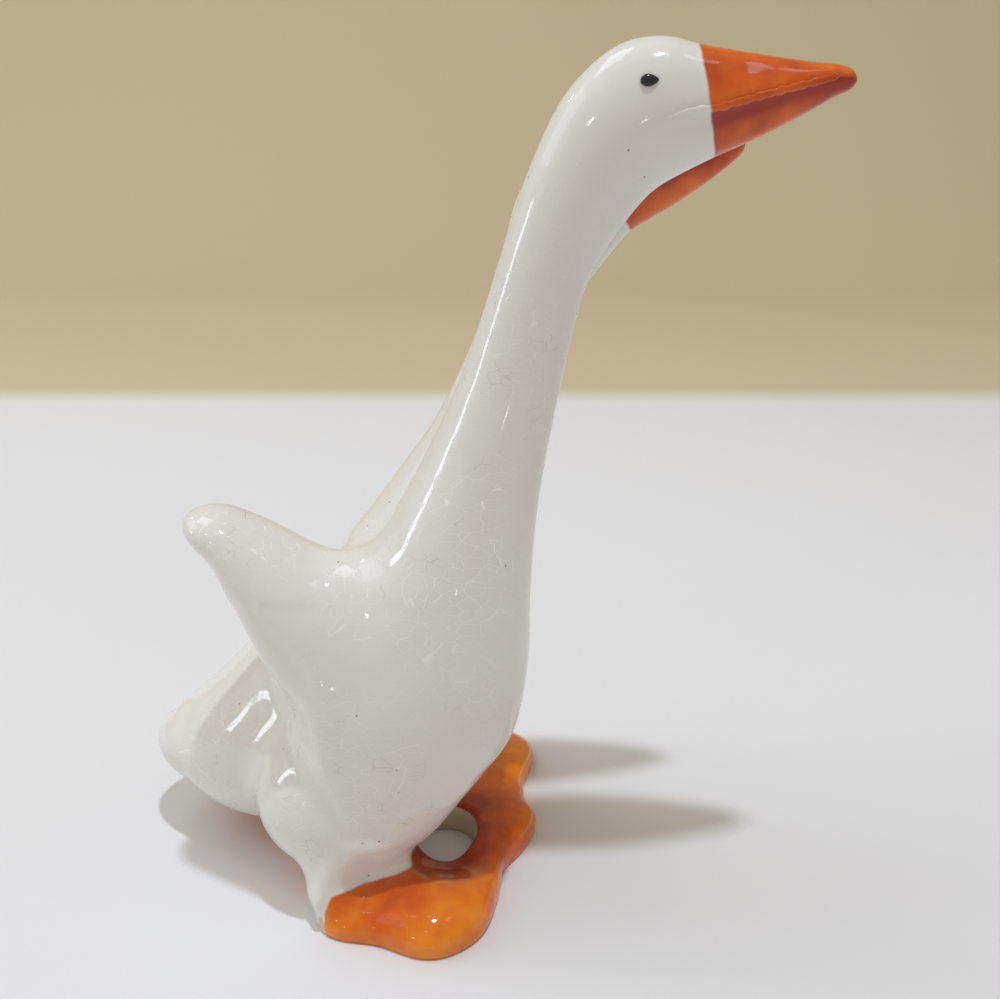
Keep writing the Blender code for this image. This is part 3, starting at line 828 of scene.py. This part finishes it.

# %% Orange paint
# Thin paint is yellowish orange and thick paint a burnt red. It is deeper in hollows, partly
# thicker paint and partly painted shade, deeper right below the lip as painted shade, and
# thicker in cloudy brush marks, and its edge wanders by less than half a millimetre.
shade_and_thick_paint_fac = add(tree, "ShaderNodeAttribute", attribute_name="shade_and_thick_paint").outputs["Fac"]
brushed = add(
    tree, "ShaderNodeTexNoise", {"Vector": spot, "Scale": per_mm(9), "Detail": 3.0, "Roughness": 0.6},
)
mouth_mm = add(tree, "ShaderNodeAttribute", attribute_name="mouth_mm").outputs["Fac"]
mouth_deep = add(tree, "ShaderNodeAttribute", attribute_name="mouth_deep").outputs["Fac"]
# painted shade: right below the lip's edge the paint is made deeper, fading out above it
shade_below_lip = add(
    tree, "ShaderNodeMapRange", {0: mouth_mm, 1: -3.0, 2: -0.4, 3: 0.35, 4: 1.0},
    interpolation_type="SMOOTHSTEP",
)
above_lip = add(tree, "ShaderNodeMapRange", {0: mouth_mm, 1: -0.3, 2: 0.3, 3: 0.42, 4: 0.0})
lip_shade = add(
    tree, "ShaderNodeMath", {0: shade_below_lip.outputs[0], 1: above_lip.outputs[0]}, operation="MULTIPLY",
)
mottled = add(tree, "ShaderNodeMapRange", {0: brushed.outputs["Fac"], 1: 0.3, 2: 0.7, 3: 0.28, 4: 0.76})
coats_and_lip_shade = add(
    tree, "ShaderNodeMath", {0: lip_shade.outputs[0], 1: mouth_deep, 2: mottled.outputs[0]},
    operation="MULTIPLY_ADD",
)
# the paint's depth: brush marks, painted shade under the lip, and painted shade in hollows
depth = add(
    tree, "ShaderNodeMath", {0: shade_and_thick_paint_fac, 1: 0.18, 2: coats_and_lip_shade.outputs[0]}, operation="MULTIPLY_ADD",
)
paint = add(tree, "ShaderNodeValToRGB", {0: depth.outputs[0]})
paint.color_ramp.elements[0].position = 0.08
paint.color_ramp.elements[0].color = colour("#f08c1c")
paint.color_ramp.elements[1].position = 0.85
paint.color_ramp.elements[1].color = colour("#a02c06")
paint.color_ramp.elements.new(0.42).color = colour("#d95f10")

orange_mm = add(tree, "ShaderNodeAttribute", attribute_name="orange_mm").outputs["Fac"]
ragged = add(tree, "ShaderNodeTexNoise", {"Vector": spot, "Scale": per_mm(3), "Detail": 2.0})
edge_mm = add(
    tree, "ShaderNodeMath", {0: ragged.outputs["Fac"], 1: 0.5, 2: orange_mm}, operation="MULTIPLY_ADD",
)
painted = add(
    tree, "ShaderNodeMapRange", {0: edge_mm.outputs[0], 1: 0.05, 2: 0.5, 3: 0.0, 4: 1.0},
    interpolation_type="SMOOTHSTEP",
)
coloured = add(
    tree, "ShaderNodeMix", {0: painted.outputs[0], 6: pitted.outputs[2], 7: paint.outputs["Color"]},
    data_type="RGBA",
)
print("paint made, now", len(tree.nodes), "nodes")

# %% Bare clay and relief
# Biscuit is a sandy beige and rough. The relief is a slow unevenness of the glaze, a tenth of a
# millimetre high, with each hairline a shallow groove.
bare_mm = add(tree, "ShaderNodeAttribute", attribute_name="bare_mm").outputs["Fac"]
biscuit = add(
    tree, "ShaderNodeMapRange", {0: bare_mm, 1: -0.12, 2: 0.1, 3: 0.0, 4: 1.0},
    interpolation_type="SMOOTHSTEP",
)
finished = add(
    tree, "ShaderNodeMix", {0: biscuit.outputs[0], 6: coloured.outputs[2], 7: colour("#cbbfa6")},
    data_type="RGBA",
)
rough = add(tree, "ShaderNodeMapRange", {0: biscuit.outputs[0], 1: 0.0, 2: 1.0, 3: 0.07, 4: 0.6})
wave = add(tree, "ShaderNodeTexNoise", {"Vector": spot, "Scale": per_mm(7), "Detail": 2.0})
wave_mm = add(tree, "ShaderNodeMath", {0: wave.outputs["Fac"], 1: 0.12}, operation="MULTIPLY")
relief_mm = add(
    tree, "ShaderNodeMath", {0: crazing.outputs[0], 1: -0.02, 2: wave_mm.outputs[0]},
    operation="MULTIPLY_ADD",
)
bump = add(tree, "ShaderNodeBump", {"Strength": 1.0, "Distance": 0.001, "Height": relief_mm.outputs[0]})

tree.links.new(finished.outputs[2], shader.inputs["Base Color"])
tree.links.new(rough.outputs[0], shader.inputs["Roughness"])
tree.links.new(bump.outputs["Normal"], shader.inputs["Normal"])
shader.inputs["IOR"].default_value = GLAZE_IOR
for piece in [geese] + lips:
    piece.data.materials.append(glaze)
print("glaze nodes:", len(tree.nodes))

# %% [markdown]
# ## Eye paint
# A drop of cobalt black under the same glaze: nearly black, a touch blue, and glossy, so a
# small light sits on its top. It could be one plain colour, but a faint cloud keeps it from
# looking like a hole.

# %% Black underglaze
black = bpy.data.materials.new("black_underglaze_drop")
black.use_nodes = True
tree = black.node_tree
shader = tree.nodes["Principled BSDF"]
spot = add(tree, "ShaderNodeTexCoord").outputs["Object"]
cloud = add(tree, "ShaderNodeTexNoise", {"Vector": spot, "Scale": per_mm(1.2), "Detail": 2.0})
ink = add(
    tree, "ShaderNodeMix", {0: cloud.outputs["Fac"], 6: colour("#17181b"), 7: colour("#24252a")},
    data_type="RGBA",
)
tree.links.new(ink.outputs[2], shader.inputs["Base Color"])
shader.inputs["Roughness"].default_value = 0.12
shader.inputs["IOR"].default_value = GLAZE_IOR
for drop in drops:
    drop.data.materials.append(black)
print("eye paint on", len(drops), "drops")

# %% [markdown]
# ## Floor and backdrop
# A sheet of matt paper lies flat and curves up far behind, like the sweep of a product photo.
# It catches the shadows of the two heads. Its profile is a line, a quarter circle and a line,
# carried sideways. It is pale by the geese and turns to a warm beige 30 cm behind them, over
# three centimetres, so that the edge looks soft as if out of focus.

# %% The sweep
FLOOR_GAP = 0.00005
BEIGE_FROM = 0.282
BEIGE_TO = 0.312


def sweep(near=-0.6, far=0.55, bend=0.35, rise=1.6, half=1.6, steps=48):
    """Flat from near to far, then a quarter circle of radius bend, then upright to rise, all
    in metres and a hair below the foot; the points come back in millimetres."""
    a = np.linspace(0, np.pi / 2, steps)
    along = np.concatenate([[near], far + bend * np.sin(a), [far + bend]])
    up = np.concatenate([[0.0], bend * (1 - np.cos(a)), [rise]]) - FLOOR_GAP
    side = np.linspace(-half, half, 3)
    grid_x = side[None, :] + 0 * along[:, None]
    grid_y = along[:, None] + 0 * grid_x
    grid_z = up[:, None] + 0 * grid_x
    count = len(along)
    i = np.arange(count - 1)[:, None] * 3
    j = np.arange(2)[None, :]
    faces = np.stack([i + j, i + j + 1, i + j + 4, i + j + 3], axis=2).reshape(-1, 4)
    return np.stack([grid_x, grid_y, grid_z], axis=2).reshape(-1, 3) * 1000, faces


floor = as_mesh("paper_sweep", *sweep())
paper = bpy.data.materials.new("matt_paper")
paper.use_nodes = True
tree = paper.node_tree
shader = tree.nodes["Principled BSDF"]
spot = add(tree, "ShaderNodeTexCoord").outputs["Object"]
behind = add(tree, "ShaderNodeSeparateXYZ", {0: spot}).outputs["Y"]
far_off = add(
    tree, "ShaderNodeMapRange", {0: behind, 1: BEIGE_FROM, 2: BEIGE_TO, 3: 0.0, 4: 1.0},
    interpolation_type="SMOOTHSTEP",
)
tone = add(
    tree, "ShaderNodeMix", {0: far_off.outputs[0], 6: colour("#e5e6e7"), 7: colour("#cfc2a2")},
    data_type="RGBA",
)
tree.links.new(tone.outputs[2], shader.inputs["Base Color"])
shader.inputs["Roughness"].default_value = 0.9
shader.inputs["Specular IOR Level"].default_value = 0.2
floor.data.materials.append(paper)
print("sweep faces:", len(floor.data.polygons))

# %% [markdown]
# ## Light
# The room is bright and plain. One small lamp almost overhead gives the heads their shadows on
# the floor. Two large flat lamps on the left are a high window, and a narrow one below them
# draws the long streak on the neck. Two panes on the ceiling and three tiny lamps add soft
# patches and glints in the glaze. The world fills the rest. Together they light a colour to
# about its written value. A lighting picture would do as well, but lamps can be moved one by
# one.

# %% Lamps and world
def lamp(name, place, aim, size, power, tint="#ffffff"):
    """A flat lamp of a width and a height in metres at a place, turned to a point."""
    data = bpy.data.lights.new(name, "AREA")
    data.shape = "RECTANGLE"
    data.size, data.size_y = size
    data.energy = power
    data.color = colour(tint)[:3]
    obj = bpy.data.objects.new(name, data)
    obj.location = place
    way = np.array(aim) - np.array(place)
    way = way / np.linalg.norm(way)
    obj.rotation_euler = (math.acos(-way[2]), 0.0, math.atan2(way[1], way[0]) - math.pi / 2)
    bpy.context.scene.collection.objects.link(obj)
    return obj


AIM = (0.01, 0.0, 0.06)
lamp("overhead", (0.092, -0.124, 1.05), AIM, (0.04, 0.04), 4.6, "#e6edfb")
lamp("high_window", (-0.80, 0.10, 0.62), AIM, (1.0, 0.8), 1.1, "#eef4ff")
lamp("high_pane", (-0.79, 0.10, 0.61), AIM, (0.5, 0.42), 0.8, "#eef4ff")
lamp("low_window", (-0.97, -0.05, 0.24), AIM, (0.13, 0.22), 0.7, "#eef4ff")
lamp("ceiling", (-0.36, 0.28, 0.92), AIM, (0.42, 0.34), 1.1, "#eef4ff")
lamp("ceiling_right", (0.41, -0.04, 0.98), AIM, (0.14, 0.12), 0.1, "#eef4ff")
lamp("back_glint", (-0.66, 0.46, 0.64), AIM, (0.07, 0.07), 0.15)
lamp("body_glint", (-0.52, -0.66, 0.46), AIM, (0.05, 0.05), 0.1)
lamp("belly_glint", (0.13, -1.0, 0.03), AIM, (0.03, 0.04), 0.05)
world = bpy.data.worlds.new("room")
world.use_nodes = True
world.node_tree.nodes["Background"].inputs["Color"].default_value = colour("#f4eadc")
world.node_tree.nodes["Background"].inputs["Strength"].default_value = 0.5
bpy.context.scene.world = world

# %% [markdown]
# ## Camera
# The camera stands 16 cm in front of the near goose, at head height, and looks down by 19
# degrees, as in the photograph. The lens follows from the picture's width and the focal
# length, both in pixels.

# %% Camera and colour management
FOCAL_PX = 1200.0
WIDTH_PX = 1000.0
SENSOR_MM = 36.0
LOOK_DOWN = 19.36
camera = bpy.data.cameras.new("camera")
camera.sensor_fit = "HORIZONTAL"
camera.sensor_width = SENSOR_MM
camera.lens = SENSOR_MM * FOCAL_PX / WIDTH_PX
camera.clip_start = 0.01
camera_obj = bpy.data.objects.new("camera", camera)
camera_obj.location = (0.01965, -0.17284, 0.12052)
camera_obj.rotation_euler = (math.radians(90 - LOOK_DOWN), 0.0, 0.0)
bpy.context.scene.collection.objects.link(camera_obj)
bpy.context.scene.camera = camera_obj
bpy.context.scene.view_settings.view_transform = "Standard"
print("lens: %.1f mm" % camera.lens)
